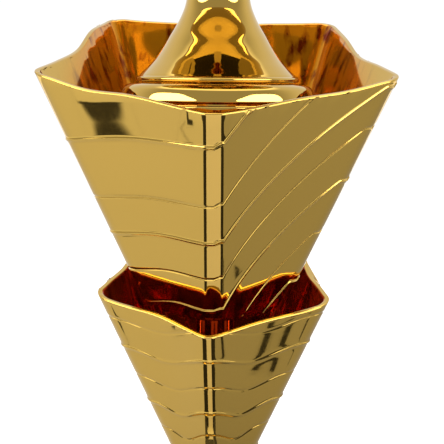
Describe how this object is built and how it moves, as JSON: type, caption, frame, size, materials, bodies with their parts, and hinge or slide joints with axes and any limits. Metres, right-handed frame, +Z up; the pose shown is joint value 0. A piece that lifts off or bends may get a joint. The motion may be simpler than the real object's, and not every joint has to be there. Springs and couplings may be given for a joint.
{
  "type": "cup trophy",
  "caption": "Gold cup trophy: a trumpet-footed bowl on a cushion disc, carried by flared five-sided calyxes over a dark stone plinth.",
  "frame": {"origin": "centre of the footprint, at the level of the floor", "axes": "+Z up through the cup, one corner of each calyx towards -Y"},
  "size_m": [0.156, 0.156, 0.4236],
  "materials": {
    "pad_rubber": "matt black rubber",
    "plinth_stone": "polished black marble with fine pale veins",
    "plate_gold": "brushed gold plate, blank",
    "rod_steel": "zinc-plated steel",
    "nut_steel": "zinc-plated steel",
    "washer_steel": "zinc-plated steel",
    "sleeve_gold": "gold metallised plastic",
    "base_gold": "mirror-bright gold metallised plastic",
    "calyx_gold": "mirror-bright gold metallised plastic",
    "seat_gold": "gold metallised plastic",
    "cushion_gold": "mirror-bright gold metallised plastic",
    "cup_gold": "mirror-bright gold plated metal"
  },
  "bodies": {
    "root": {"pad_front_left": "pad_rubber", "pad_back_left": "pad_rubber", "pad_front_right": "pad_rubber", "pad_back_right": "pad_rubber", "plinth_block": "plinth_stone", "name_plate": "plate_gold", "tie_rod": "rod_steel", "plinth_washer": "washer_steel", "plinth_nut": "nut_steel", "bowl_washer": "washer_steel", "bowl_nut": "nut_steel", "base_ring": "base_gold", "base_foot": "base_gold", "lower_calyx": "calyx_gold", "lower_sleeve": "sleeve_gold", "lower_seat": "seat_gold", "upper_calyx": "calyx_gold", "upper_sleeve": "sleeve_gold", "upper_seat": "seat_gold", "cushion_disc": "cushion_gold", "trumpet_foot": "cup_gold", "neck_knop": "cup_gold", "bowl": "cup_gold"}
  },
  "joints": []
}
